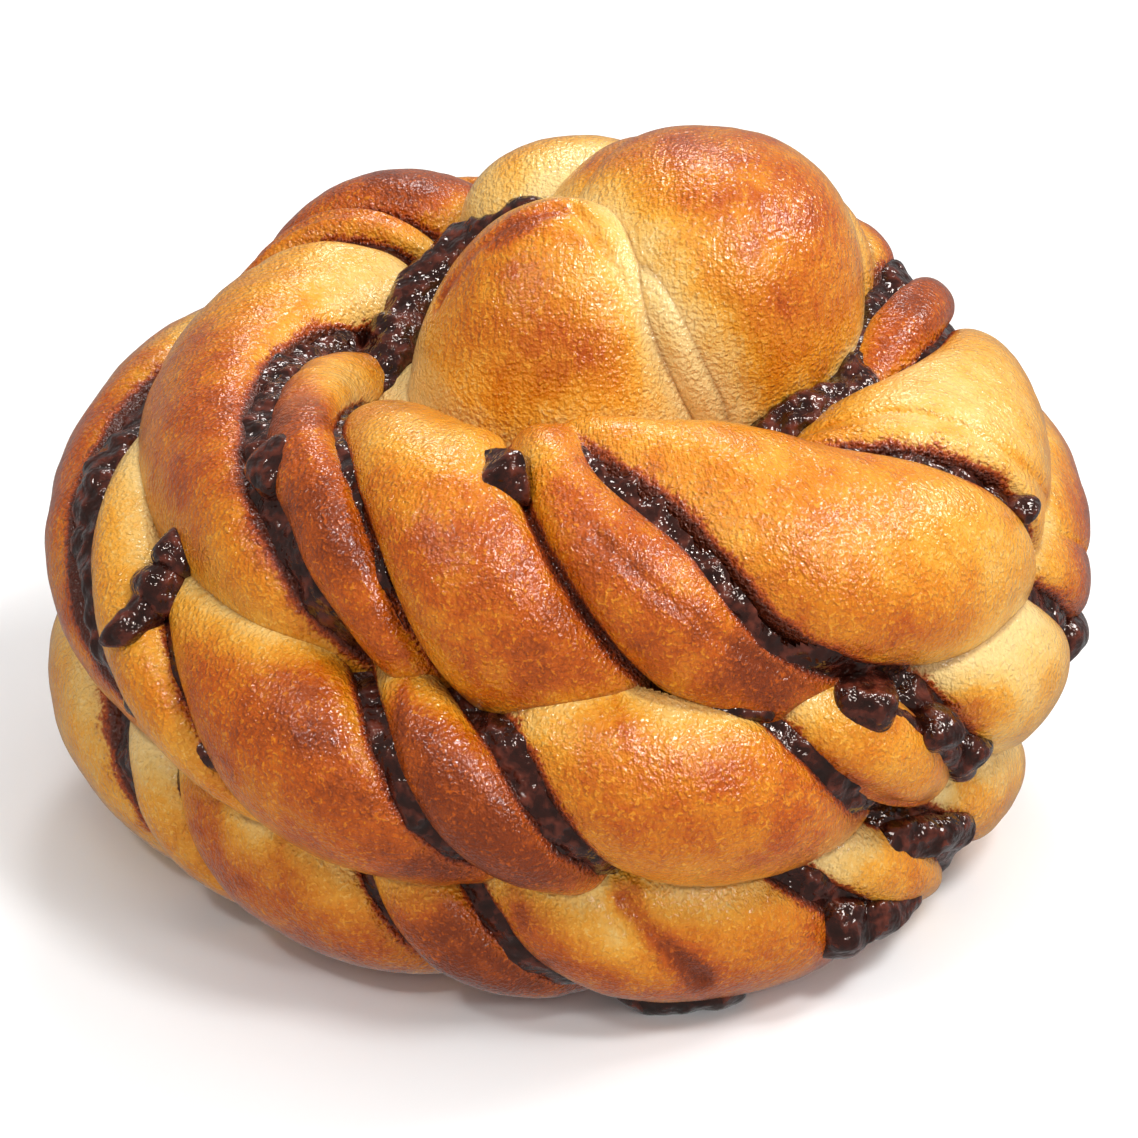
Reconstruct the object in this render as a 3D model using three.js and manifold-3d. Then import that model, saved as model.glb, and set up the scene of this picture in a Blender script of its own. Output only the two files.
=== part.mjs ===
// Chocolate bun: one filled strand of dough, twisted, wound up in three turns and knotted on top.
// Millimetres, +Z up. The flat underside lies on z = 0 and the bun's box is centred on the Z axis.
import * as THREE from 'three';
import { mergeVertices } from 'three/addons/utils/BufferGeometryUtils.js';
import Module from 'manifold-3d';

const wasm = await Module();
wasm.setup();

// ---- Driving sizes -------------------------------------------------------------------------

const DEG = Math.PI / 180;

// The strand's centre line and oval section, from its tucked start under the first turn to its
// end beside the crown. The angle runs on over the turns: 0 is +X, 90 is the back, 270 the front.
// Rows: angle, sideways shift of the turn, turn radius, height, half width, half height.
const PATH = [
  [95, 0.4, 31, 10, 9, 8],
  [120, 0.4, 35, 12.5, 13, 12],
  [180, 0.4, 42.2, 15.5, 14, 13.5],
  [205, 0.4, 39.5, 15, 13.5, 13],
  [235, 0.4, 36.3, 14.5, 13.5, 13],
  [270, 0.4, 36.8, 13, 13.5, 12.5],
  [305, 0.4, 37, 12.5, 13.5, 12.5],
  [340, 0.4, 36.5, 13.5, 13.5, 12.5],
  [415, 0.4, 36, 16, 13.5, 12.5],
  [480, 0.4, 38.5, 31.5, 14, 13],
  [520, 0.4, 40.2, 35, 14, 13.5],
  [545, 0.4, 41.2, 33.8, 14.5, 13.5],
  [585, 0.4, 40.5, 29, 14, 13.5],
  [630, 0.4, 40.5, 28, 14, 13.5],
  [675, 0.4, 39.5, 28.5, 14, 13.5],
  [710, 0.8, 40.5, 30, 14.5, 14],
  [730, 0.8, 40, 31.5, 14.5, 14],
  [775, 1.5, 35, 34, 14, 13.5],
  [850, 0, 32.2, 46.5, 14, 13.5],
  [875, 0, 30.2, 43.8, 14.5, 14],
  [900, 0.5, 30.5, 42.5, 15, 14.5],
  [925, 1, 31, 43, 15, 14.5],
  [945, 1.5, 32, 45, 15, 14.5],
  [990, 3, 32.5, 44, 14.5, 14],
  [1035, 3.7, 34.5, 42, 15, 14.5],
  [1070, 3.7, 33, 42.5, 14, 14],
  [1110, 3.7, 28, 47.5, 13, 13],
  [1150, 3.7, 25, 48.5, 12, 12],
  [1190, 3.7, 21, 48, 11, 11],
  [1215, 3.7, 17, 47, 8, 8],
];

// Where the twist brings each groove round to the strand's outer side, and how steeply it runs
// there: below 0 it crosses the strand, above 0 it runs along it. The grooves part wide lobes,
// the rolled-up faces, from narrow ones, the cut edge, in turn.
// Rows: angle, lean.
const GROOVES = [
  [80, 0], [100, 0], [146, 0], [163, 0], [191, -0.4], [217, -0.4], [245.5, -0.5], [261.5, -0.5],
  [299, -0.3], [322, -0.2], [350, 0], [366, 0], [412, 0], [430, 0], [478, 0], [497, 0],
  [556, -0.2], [580, -0.2], [610, -0.5], [625.5, -0.5], [658, -0.5], [675, -0.5],
  [701, -0.2], [713, 0], [747, 0], [763, 0], [822, 0], [835, 0], [860, 0], [872, 0],
  [941, 0.1], [959, -0.1], [985, -0.4], [1006, -0.65], [1052, 0], [1066, 0],
  [1094, 0], [1108, 0], [1140, 0], [1155, 0], [1190, 0], [1230, 0],
];
const FACE_WIDTH = 125; // degrees of twist that a wide lobe takes
const EDGE_WIDTH = 55; // and a narrow one
const FIRST_PHASE = -235; // twist at the first groove

// The strand's outer side, as an angle of the section: 0 points away from the axis, 90 up. It
// turns upwards as the turns climb.
const OUTER_SIDE = [[90, 0], [400, 0], [470, 20], [760, 20], [850, 40], [1230, 40]];

const GROOVE_DEPTH = 4.6;
const FACE_ROUNDNESS = 2.6; // exponent of a wide lobe's arch, 2 is a half circle
const EDGE_ROUNDNESS = 2.2; // and of a narrow lobe's
const EDGE_LOBE_SIZE = 0.94; // a narrow lobe's size beside a wide one's
const END_TAPER = 14; // degrees over which the strand's two ends round off
const ANGLE_STEP = 11; // most degrees between two sections
const TWIST_STEP = 32; // most degrees that the lobes turn between two sections
const PIECE_ANGLE = 285; // most degrees that one piece of the sweep takes, less than a full turn
const SOLVE_STEPS = 14; // steps taken to find a point of a leaning groove
const SOLVE_SHARE = 0.9; // share of the remaining error that a step takes away

// Columns of a lobe, from its groove at -1 to the next groove at 1.
const FACE_COLUMNS = [-1, -0.78, -0.28, 0.28, 0.78];
const EDGE_COLUMNS = [-1, 0];

// Crown lobes, the strand's end folded over the middle. Centre, half axes, turn about Y,
// and how much narrower the top is than the middle.
const CROWN = [
  { centre: [0.8, -3, 54], axes: [16.5, 14, 17.8], tilt: 0, taper: 0.22 },
  { centre: [15, 5, 54.5], axes: [15.5, 16.5, 20.2], tilt: -3, taper: -0.14 },
  { centre: [6, 10, 63], axes: [12, 10, 9], tilt: -15, taper: 0 },
  { centre: [1.5, 20, 57.5], axes: [13, 10, 10], tilt: 0, taper: 0 },
  { centre: [23.5, 12, 53], axes: [9, 9, 13.5], tilt: 0, taper: 0 },
];
const CROWN_SQUARENESS = 2.2; // exponent of the lobes' rounded outline, 2 is an ellipsoid
const CROWN_FACES = [13, 10]; // faces round and down a crown lobe

// The middle of the bun, where the turns have grown together.
const CORE = { centre: [1, 0, 26], axes: [32, 31, 29], tilt: 0, taper: 0 };
const CORE_FACES = [14, 7];

// The filling inside the strand is a four-armed star whose tips show in the grooves.
const TIP_ABOVE_GROOVE = 2.2;
const STAR_WAIST = 5; // radius between two arms
const SHOWN_REACH = [0.3, 1.1]; // share of an arm's full reach: at right angles to the outer side, and
// how much more of it on the outer side itself
const HIDDEN_REACH = 0.36; // least share, on the side turned inwards
const FILLING_START = 30; // degrees that the filling stays back from the strand's ends
const FILLING_GAP = 0.3; // air between filling and dough
const TIP_GROWTH = 4.8; // the star's slanted sides need its tips moved out by this many gaps
const WAIST_GROWTH = 4.6; // and its waist by this many
const CHUNK_GROWTH = 1.3; // chunks grow by a little more than the gap, as their corners stand out

// Chocolate pressed out of the folds, as bars along gentle curves. Some only join one of the
// others to the filling inside the strand. Radius, then the points.
const BAR_SIDES = 6;
const BAR_STEPS = 2; // sections between two points
const SMEARS = {
  leftOfCrown: [3.6, [[-20, 2.5, 47], [-18.5, 9, 50.5], [-15, 14, 54], [-8, 18, 58]]],
  leftOfCrownRoot: [3, [[-31, 5, 43], [-24, 5, 45.5], [-18.5, 6, 49]]],
  rightOfCrown: [4, [[19.5, -9.5, 50.5], [25.5, -6, 51.5], [29.5, 0.5, 53.5], [30.5, 8, 54]]],
  rightOfCrownRoot: [3, [[34, -11, 43], [29, -8.5, 47.5], [25, -6, 51]]],
  leftSide: [3.6, [[-43.5, 5, 41.5], [-46, -3, 40], [-47.2, -11, 36.5]]],
  leftSideRoot: [3, [[-39, -1, 32], [-42.5, -2, 36], [-46, -3, 40]]],
  underFront: [2.6, [[17, -40, 3.4], [10.5, -41.2, 3.2], [6, -41.6, 3]]],
  underFrontRoot: [3, [[15.5, -30, 10], [16, -35, 6], [14, -40.5, 4]]],
};

// Larger drops and chunks of chocolate. Centre, radius, flattening.
const CHUNKS = [
  [[-38.5, -22.5, 42], 3.2, 0.9],
  [[-41.5, -22.5, 38], 3.2, 1],
  [[-44, -25.5, 36], 2.2, 0.8],
  [[-29.5, -23, 52], 3, 1],
  [[-6, -31.8, 56.6], 2.4, 0.9],
  [[29.3, -39, 35.4], 3.8, 0.8],
  [[36.1, -36.4, 30], 3.8, 0.8],
  [[40.5, -28, 20], 3, 0.9],
  [[51.5, -8, 25], 4, 0.9],
  [[24.5, -38.5, 10.5], 5.5, 0.9],
  [[22, -39, 6.5], 4, 0.9],
  [[30, -34.5, 8], 3.8, 0.8],
  [[-48.5, -14, 21], 2.6, 1],
  [[46, -19, 46], 2.6, 0.7],
];

const FLOOR_CUT = 1.2; // the underside is baked flat this far up the first turn
const BLOCK_SIZE = 300; // of the block that cuts it, wider than the bun
const OUTSIDE_TOLERANCE = 0.3; // smallest detail kept where the turns have grown together
const CUT_TOLERANCE = 0.04; // and where the filling is cut out of the dough
const FILLING_TOLERANCE = 0.1; // and in the filling

// ---- Curves --------------------------------------------------------------------------------

// Smooth curve through a column of a table, by cubic pieces with averaged slopes.
function smoothAt(rows, column, x) {
  const last = rows.length - 1;
  let i = rows.findIndex((row, k) => k === last - 1 || x < rows[k + 1][0]);
  i = Math.max(i, 0);
  const slope = (k) => (rows[k + 1][column] - rows[k][column]) / (rows[k + 1][0] - rows[k][0]);
  const width = (k) => rows[k + 1][0] - rows[k][0];
  const tangent = (k) => {
    if (k === 0) return slope(0);
    if (k === last) return slope(last - 1);
    return (slope(k - 1) * width(k) + slope(k) * width(k - 1)) / (width(k - 1) + width(k));
  };
  const h = width(i);
  const t = Math.min(Math.max((x - rows[i][0]) / h, 0), 1);
  return (2 * t ** 3 - 3 * t ** 2 + 1) * rows[i][column]
    + (t ** 3 - 2 * t ** 2 + t) * h * tangent(i)
    + (3 * t ** 2 - 2 * t ** 3) * rows[i + 1][column]
    + (t ** 3 - t ** 2) * h * tangent(i + 1);
}

// Straight lines through a column of a table.
function straightAt(rows, column, x) {
  if (x <= rows[0][0]) return rows[0][column];
  const i = rows.findIndex((row) => row[0] >= x);
  if (i < 0) return rows[rows.length - 1][column];
  const t = (x - rows[i - 1][0]) / (rows[i][0] - rows[i - 1][0]);
  return rows[i - 1][column] * (1 - t) + rows[i][column] * t;
}

const TWIST = GROOVES.map((groove, i) => {
  const pairs = Math.floor(i / 2);
  const odd = i % 2;
  return [groove[0], FIRST_PHASE + pairs * (FACE_WIDTH + EDGE_WIDTH) + odd * EDGE_WIDTH];
});

// Twist of the strand at an angle of the path: a rising curve through the grooves' own phases.
function twistAt(angle) {
  const last = TWIST.length - 1;
  let i = TWIST.findIndex((row, k) => k === last - 1 || angle < TWIST[k + 1][0]);
  i = Math.max(i, 0);
  const width = (k) => TWIST[k + 1][0] - TWIST[k][0];
  const slope = (k) => (TWIST[k + 1][1] - TWIST[k][1]) / width(k);
  const tangent = (k) => {
    if (k === 0) return slope(0);
    if (k === last) return slope(last - 1);
    const before = 2 * width(k) + width(k - 1);
    const after = width(k) + 2 * width(k - 1);
    return (before + after) / (before / slope(k - 1) + after / slope(k));
  };
  const h = width(i);
  const t = (angle - TWIST[i][0]) / h;
  return (2 * t ** 3 - 3 * t ** 2 + 1) * TWIST[i][1]
    + (t ** 3 - 2 * t ** 2 + t) * h * tangent(i)
    + (3 * t ** 2 - 2 * t ** 3) * TWIST[i + 1][1]
    + (t ** 3 - t ** 2) * h * tangent(i + 1);
}

// ---- The strand ----------------------------------------------------------------------------

// Everything about the strand's section at an angle of the path.
function sectionAt(angle) {
  const columns = [1, 2, 3, 4, 5].map((column) => smoothAt(PATH, column, angle));
  const [shift, radius, height, halfWidth, halfHeight] = columns;
  const outer = straightAt(OUTER_SIDE, 1, angle);
  const fromEnd = Math.min(angle - PATH[0][0], PATH[PATH.length - 1][0] - angle) / END_TAPER;
  const taper = Math.sqrt(1 - (1 - Math.min(Math.max(fromEnd, 0), 1)) ** 2);
  return {
    angle, shift, radius, height, halfWidth, halfHeight, outer, taper,
    turn: outer - twistAt(angle),
    lean: straightAt(GROOVES, 1, angle),
  };
}

// Section angle at which a phase of the twist lies. The lean bends the grooves, so the angle is
// found step by step.
function sideOf(section, phase) {
  const wanted = phase + section.turn;
  let side = wanted;
  for (let k = 0; k < SOLVE_STEPS; k += 1) {
    const off = (side - section.outer) * DEG;
    const error = side + (section.lean / DEG) * Math.sin(off) - wanted;
    side -= SOLVE_SHARE * error / (1 + section.lean * Math.cos(off));
  }
  return side;
}

function ovalRadius(section, side) {
  const across = Math.cos(side * DEG) / section.halfWidth;
  const up = Math.sin(side * DEG) / section.halfHeight;
  return 1 / Math.hypot(across, up);
}

function pointAt(section, side, reach) {
  const out = section.radius + reach * Math.cos(side * DEG);
  return new THREE.Vector3(
    section.shift + out * Math.cos(section.angle * DEG),
    out * Math.sin(section.angle * DEG),
    section.height + reach * Math.sin(side * DEG),
  );
}

// The columns that follow the lobes round the strand: phase, rise above the groove and size.
function lobeColumns() {
  const columns = [];
  for (const start of [0, FACE_WIDTH + EDGE_WIDTH]) {
    for (const x of FACE_COLUMNS) {
      const rise = Math.sqrt(1 - Math.abs(x) ** FACE_ROUNDNESS);
      columns.push({ phase: start + FACE_WIDTH * (x + 1) / 2, rise, size: 1 });
    }
    for (const x of EDGE_COLUMNS) {
      const rise = Math.sqrt(1 - Math.abs(x) ** EDGE_ROUNDNESS);
      columns.push({ phase: start + FACE_WIDTH + EDGE_WIDTH * (x + 1) / 2, rise, size: EDGE_LOBE_SIZE });
    }
  }
  return columns;
}

function doughRing(angle) {
  const section = sectionAt(angle);
  return lobeColumns().map(({ phase, rise, size }) => {
    const side = sideOf(section, phase);
    const reach = ovalRadius(section, side) * size - GROOVE_DEPTH * (1 - rise);
    return pointAt(section, side, reach * section.taper);
  });
}

// The star's arms reach into the grooves on the outer side and stay short on the inner side.
function fillingRing(angle, grow) {
  const section = sectionAt(angle);
  const half = FACE_WIDTH + EDGE_WIDTH;
  const tips = [0, FACE_WIDTH, half, half + FACE_WIDTH];
  const ring = [];
  tips.forEach((phase, i) => {
    const tipSide = sideOf(section, phase);
    const shown = SHOWN_REACH[0] + SHOWN_REACH[1] * Math.cos((tipSide - section.outer) * DEG);
    const share = Math.min(Math.max(shown, HIDDEN_REACH), 1);
    const full = ovalRadius(section, tipSide) - GROOVE_DEPTH + TIP_ABOVE_GROOVE;
    ring.push(pointAt(section, tipSide, (full * share + TIP_GROWTH * grow) * section.taper));
    const between = phase + (i % 2 === 0 ? FACE_WIDTH : EDGE_WIDTH) / 2;
    const waist = (STAR_WAIST + WAIST_GROWTH * grow) * section.taper;
    ring.push(pointAt(section, sideOf(section, between), waist));
  });
  return ring;
}

// ---- Solids --------------------------------------------------------------------------------

function solidOf(geometry) {
  const bare = geometry.index ? geometry.clone() : geometry;
  bare.deleteAttribute('normal');
  bare.deleteAttribute('uv');
  const merged = mergeVertices(bare, 1e-5);
  return new wasm.Manifold(new wasm.Mesh({
    numProp: 3,
    vertProperties: new Float32Array(merged.attributes.position.array),
    triVerts: new Uint32Array(merged.index.array),
  }));
}

// A closed solid through rings of points, with a fan over each end. Each four-sided patch is
// split along its shorter diagonal, so that quickly turning arms don't fold into themselves.
function sweptSolid(rings) {
  const count = rings[0].length;
  const points = rings.flat();
  const triangles = [];
  for (let i = 0; i < rings.length - 1; i += 1) {
    for (let j = 0; j < count; j += 1) {
      const a = i * count + j;
      const b = i * count + (j + 1) % count;
      const up = points[a].distanceTo(points[b + count]);
      const down = points[b].distanceTo(points[a + count]);
      if (up < down) triangles.push(a, a + count, b + count, a, b + count, b);
      else triangles.push(a, a + count, b, b, a + count, b + count);
    }
  }
  [0, rings.length - 1].forEach((row, end) => {
    const centre = rings[row].reduce((sum, p) => sum.add(p), new THREE.Vector3()).divideScalar(count);
    points.push(centre);
    for (let j = 0; j < count; j += 1) {
      const a = row * count + j;
      const b = row * count + (j + 1) % count;
      triangles.push(...(end ? [a, points.length - 1, b] : [b, points.length - 1, a]));
    }
  });
  const geometry = new THREE.BufferGeometry().setFromPoints(points);
  geometry.setIndex(triangles);
  return solidOf(geometry);
}

// Degrees that the fastest groove turns round the strand between two sections.
function fastestTurn(from, to) {
  const lean = Math.max(...[from, to].map((angle) => Math.abs(straightAt(GROOVES, 1, angle))));
  return (twistAt(to) - twistAt(from)) / (1 - lean);
}

// The strand is wound over itself, so it is swept in pieces of less than one turn.
function strandSolid(ringAt, start, end) {
  let solid = null;
  let angles = [start];
  while (angles.at(-1) < end - 0.5) {
    const angle = angles.at(-1);
    let next = angle + ANGLE_STEP;
    while (fastestTurn(angle, next) > TWIST_STEP) next -= 0.1 * (next - angle);
    angles.push(next > end - 2 ? end : next);
    if (angles.at(-1) === end || angles.at(-1) - angles[0] > PIECE_ANGLE) {
      const piece = sweptSolid(angles.map(ringAt));
      solid = solid ? solid.add(piece) : piece;
      angles = [angles.at(-1)];
    }
  }
  return solid;
}

// A ball with a squarer outline and a narrower or wider top.
function lobeSolid({ centre, axes, tilt, taper }, across, down) {
  const geometry = new THREE.SphereGeometry(1, across, down);
  const squarer = (v) => Math.sign(v) * Math.abs(v) ** (2 / CROWN_SQUARENESS);
  const p = new THREE.Vector3();
  const position = geometry.attributes.position;
  for (let i = 0; i < position.count; i += 1) {
    p.fromBufferAttribute(position, i);
    const ring = Math.hypot(p.x, p.z);
    const wide = ring > 1e-6 ? squarer(ring) / ring : 0;
    const top = squarer(p.y);
    const narrow = 1 - taper * top;
    position.setXYZ(i, p.x * wide * narrow * axes[0], -p.z * wide * narrow * axes[1], top * axes[2]);
  }
  geometry.rotateY(tilt * DEG);
  geometry.translate(...centre);
  return solidOf(geometry);
}

// A bar along a curve, as much thicker and longer all round as it grows.
function barSolid(places, radius, grow) {
  const points = places.map((p) => new THREE.Vector3(...p));
  const first = points[0].clone().sub(points[1]).setLength(grow);
  const last = points.at(-1).clone().sub(points.at(-2)).setLength(grow);
  points[0].add(first);
  points.at(-1).add(last);
  const curve = new THREE.CatmullRomCurve3(points);
  const circle = new THREE.Shape(Array.from({ length: BAR_SIDES }, (unused, k) => {
    const turn = 2 * Math.PI * k / BAR_SIDES;
    return new THREE.Vector2(Math.cos(turn), Math.sin(turn)).multiplyScalar(radius + grow);
  }));
  const steps = BAR_STEPS * (points.length - 1);
  return solidOf(new THREE.ExtrudeGeometry(circle, { steps, extrudePath: curve }));
}

function chunkSolid(centre, radius, flat) {
  const geometry = new THREE.IcosahedronGeometry(radius, 0);
  geometry.scale(1, 1, flat);
  geometry.translate(...centre);
  return solidOf(geometry);
}

// The main body without loose scraps and sealed hollows, with slivers up to a size smoothed away.
function tidied(solid, tolerance) {
  const main = solid.decompose().sort((a, b) => b.volume() - a.volume())[0];
  return main.asOriginal().simplify(tolerance);
}

// ---- The two bodies ------------------------------------------------------------------------

function fillingSolid(grow) {
  const start = PATH[0][0] + FILLING_START;
  const end = PATH[PATH.length - 1][0] - FILLING_START;
  let filling = strandSolid((angle) => fillingRing(angle, grow), start, end);
  for (const [radius, points] of Object.values(SMEARS)) {
    filling = filling.add(barSolid(points, radius, grow));
  }
  for (const [centre, radius, flat] of CHUNKS) {
    filling = filling.add(chunkSolid(centre, radius + CHUNK_GROWTH * grow, flat));
  }
  return filling;
}

const floorBlock = new THREE.BoxGeometry(BLOCK_SIZE, BLOCK_SIZE, BLOCK_SIZE);
floorBlock.translate(0, 0, FLOOR_CUT - BLOCK_SIZE / 2);
const floorSolid = solidOf(floorBlock);

let whole = strandSolid(doughRing, PATH[0][0], PATH[PATH.length - 1][0]);
whole = whole.add(lobeSolid(CORE, ...CORE_FACES));
for (const lobe of CROWN) whole = whole.add(lobeSolid(lobe, ...CROWN_FACES));
whole = tidied(whole.subtract(floorSolid), OUTSIDE_TOLERANCE);

const doughSolid = tidied(whole.subtract(fillingSolid(FILLING_GAP)), CUT_TOLERANCE);
const chocolateSolid = tidied(fillingSolid(0).subtract(floorSolid), FILLING_TOLERANCE);

const doughBox = doughSolid.boundingBox();
const fillingBox = chocolateSolid.boundingBox();
const middle = [0, 1].map((axis) => (
  Math.min(doughBox.min[axis], fillingBox.min[axis]) + Math.max(doughBox.max[axis], fillingBox.max[axis])
) / 2);

// ---- The bun -------------------------------------------------------------------------------

const crust = new THREE.MeshStandardMaterial({ color: '#c98843', roughness: 0.5, metalness: 0 });
const chocolate = new THREE.MeshStandardMaterial({ color: '#2e160f', roughness: 0.3, metalness: 0 });

function meshOf(solid, name, material) {
  const { vertProperties, triVerts } = solid.getMesh();
  const geometry = new THREE.BufferGeometry();
  geometry.setAttribute('position', new THREE.BufferAttribute(new Float32Array(vertProperties), 3));
  geometry.setIndex(new THREE.BufferAttribute(new Uint32Array(triVerts), 1));
  geometry.computeVertexNormals();
  const mesh = new THREE.Mesh(geometry, material);
  mesh.name = name;
  return mesh;
}

const bun = new THREE.Group();
bun.add(meshOf(doughSolid, 'dough', crust));
bun.add(meshOf(chocolateSolid, 'filling', chocolate));
bun.position.set(-middle[0], -middle[1], -FLOOR_CUT);

export default bun;
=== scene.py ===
"""Looks of the chocolate bun: baked crust, chocolate in the grooves, floor, light and camera.

The strand is worked out in millimetres from nearly the same path and grooves as the solids, with
the fine relief that the solids leave out. Angles of the path run on over the turns: 0 is +X, 90
the back, 180 the left and 270 the front. Side angles go round the strand's own section: 0 points
away from the middle of the bun and 90 up.
"""
import itertools

import bpy
import numpy as np
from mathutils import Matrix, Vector

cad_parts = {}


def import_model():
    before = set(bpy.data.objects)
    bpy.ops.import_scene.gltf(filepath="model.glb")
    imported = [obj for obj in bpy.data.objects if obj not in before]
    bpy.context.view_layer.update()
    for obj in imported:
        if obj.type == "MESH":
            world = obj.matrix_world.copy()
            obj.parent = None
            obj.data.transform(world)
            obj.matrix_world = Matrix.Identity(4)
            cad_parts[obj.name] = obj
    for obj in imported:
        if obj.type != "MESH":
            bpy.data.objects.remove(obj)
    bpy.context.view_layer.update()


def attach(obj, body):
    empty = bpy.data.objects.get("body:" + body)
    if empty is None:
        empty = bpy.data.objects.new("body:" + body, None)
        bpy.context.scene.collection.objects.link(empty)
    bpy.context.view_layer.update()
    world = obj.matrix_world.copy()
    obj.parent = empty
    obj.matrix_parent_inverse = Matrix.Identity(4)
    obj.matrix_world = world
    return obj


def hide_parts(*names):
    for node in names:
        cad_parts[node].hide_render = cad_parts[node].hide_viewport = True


MM = 0.001
DEG = np.pi / 180

# ---- The strand ----------------------------------------------------------------------------

# From the axis that the strand winds round to the middle of the bun's box, and down to its cut foot.
OFFSET = (0.2625, 1.5374, -1.2)

# Angle, sideways shift of the turn, turn radius, height, half width, half height.
PATH = np.array([
    (95, 0.4, 31, 10, 9, 8),
    (120, 0.4, 35, 12.5, 13, 12),
    (180, 0.4, 42.2, 15.5, 14, 13.5),
    (205, 0.4, 39.5, 15, 13.5, 13),
    (235, 0.4, 36.3, 14.5, 13.5, 13),
    (270, 0.4, 36.8, 13, 13.5, 12.5),
    (305, 0.4, 37, 12.5, 13.5, 12.5),
    (340, 0.4, 36.5, 13.5, 13.5, 12.5),
    (415, 0.4, 36, 16, 13.5, 12.5),
    (480, 0.4, 38.5, 31.5, 14, 13),
    (520, 0.4, 40.2, 35, 14, 13.5),
    (545, 0.4, 41.2, 33.8, 14.5, 13.5),
    (585, 0.4, 40.5, 29.8, 14, 12.7),
    (630, 0.4, 40.5, 29.1, 14, 12.4),
    (675, 0.4, 39.5, 29, 14, 13),
    (710, 0.8, 40.5, 30, 14.5, 14),
    (730, 0.8, 40, 31.5, 14.5, 14),
    (775, 1.5, 35, 34, 14, 13.5),
    (850, 0, 32.2, 46.5, 14, 13.5),
    (875, 0, 30.2, 43.8, 14.5, 14),
    (900, 0.5, 30.5, 42.5, 15, 14.5),
    (925, 1, 31, 43, 15, 14.5),
    (945, 1.5, 32, 45, 15, 14.5),
    (990, 3, 32.5, 44, 14.5, 14),
    (1035, 3.7, 34.5, 42, 15, 14.5),
    (1070, 3.7, 33, 42.5, 14, 14),
    (1110, 3.7, 28, 47.5, 13, 13),
    (1150, 3.7, 25, 48.5, 12, 12),
    (1190, 3.7, 21, 48, 11, 11),
    (1215, 3.7, 17, 47, 8, 8),
], float)

# Where each groove comes round to the strand's outer side, how steeply it runs there, how deep it
# is, how wide it gapes on each side, and how high the chocolate stands in it.
# Angle, lean, depth, gape, level.
GROOVES = np.array([
    (80, 0, 4, 0.2, 1),
    (100, 0, 4, 0.2, 1),
    (146, 0, 4.6, 0.5, 1.4),
    (163, 0, 4.2, 0.2, 1),
    (205, -0.4, 4.6, 1, 1.8),
    (217, -0.4, 3.4, 0, 0.6),
    (245.5, -0.5, 4.6, 0.4, 1.1),
    (261.5, -0.5, 4.6, 0.8, 1.3),
    (304, -0.3, 4.6, 1, 1.7),
    (322, -0.2, 4.6, 1.2, 2.2),
    (350, 0, 4.6, 0.6, 1.6),
    (366, 0, 4.2, 0.2, 1),
    (412, 0, 4.6, 0.8, 1.6),
    (430, 0, 4.2, 0.3, 1),
    (478, 0, 4.6, 0.5, 1.4),
    (497, 0, 4.2, 0.2, 1),
    (556, -0.2, 4.6, 2.3, 2.1),
    (580, -0.2, 4, 0.2, 1),
    (610, -0.5, 4.6, 0.8, 1.3),
    (625.5, -0.5, 4.6, 1.1, 1.5),
    (658, -0.5, 4.6, 0.5, 1.3),
    (675, -0.5, 4.6, 1.2, 1.4),
    (701, -0.2, 4.6, 0.8, 1.6),
    (713, 0, 1.6, 0, 0),
    (747, 0, 2.6, 0, 0.3),
    (763, 0, 4.2, 0.3, 1.4),
    (822, 0, 4.6, 0.8, 1.6),
    (835, 0, 4.2, 0.3, 1.4),
    (860, 0, 4.2, 0.4, 1.2),
    (872, 0, 4.6, 0.6, 1.4),
    (940, 0.1, 4.6, 1.2, 1.6),
    (959, -0.1, 4.2, 0.3, 1),
    (985, -0.4, 4.4, 0.3, 1.1),
    (1006, -0.65, 4.6, 0.6, 1.6),
    (1052, 0, 4.6, 0.5, 2.1),
    (1058, 0, 1, 0, 0),
    (1094, 0, 4.6, 0.3, 1),
    (1108, 0, 4.6, 0.8, 1.8),
    (1140, 0, 4.6, 0.5, 1.4),
    (1155, 0, 4.2, 0.3, 1.4),
    (1190, 0, 4.6, 0.5, 2),
    (1230, 0, 4, 0.2, 1),
], float)

# The lobes between the grooves are by turns a wide one, the face, and a narrow one, the edge.
# Their widths are degrees of the twist.
FACE_WIDTH = 125
EDGE_WIDTH = 55
PAIR_WIDTH = FACE_WIDTH + EDGE_WIDTH
FIRST_PHASE = -235 # where in the twist the first groove lies
FACE_ROUNDNESS = 2.6 # 2 is round, and more has a flatter top
EDGE_ROUNDNESS = 2.2
EDGE_LOBE_SIZE = 0.94 # height of a narrow lobe, as a share of a wide one's
LEAST_LOBE = 0.5 # half width of a lobe where its grooves nearly meet
END_TAPER = 14 # degrees over which the strand's ends close
# Angle of the path, and the side angle of the strand's outer side there, which climbs higher up.
OUTER_SIDE = np.array([(90, 0), (400, 0), (470, 20), (760, 20), (850, 40), (1230, 40)], float)

# The grooves' edges wander by a share of the gape, in waves along the path and round the strand.
RAGGED_SHARE = 0.16
RAGGED_ALONG = 1.7
RAGGED_ROUND = 7.3
RAGGED_DRIFT = 2.9
# Degrees from the outer side over which a groove closes again, upward and downward.
CLOSED_ABOVE = (98, 128)
CLOSED_BELOW = (62, 108)
# The top turn swells towards the crown, and its grooves run out there.
SHOULDER = {"height": 3.6, "angle": 1000, "angle_width": 30, "side": 122, "side_width": 30}
SHOULDER_GROOVES = (52, 90) # degrees over which its grooves run out
SHOULDER_SINK = 2 # how far the chocolate dips under the dough where they end

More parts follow.
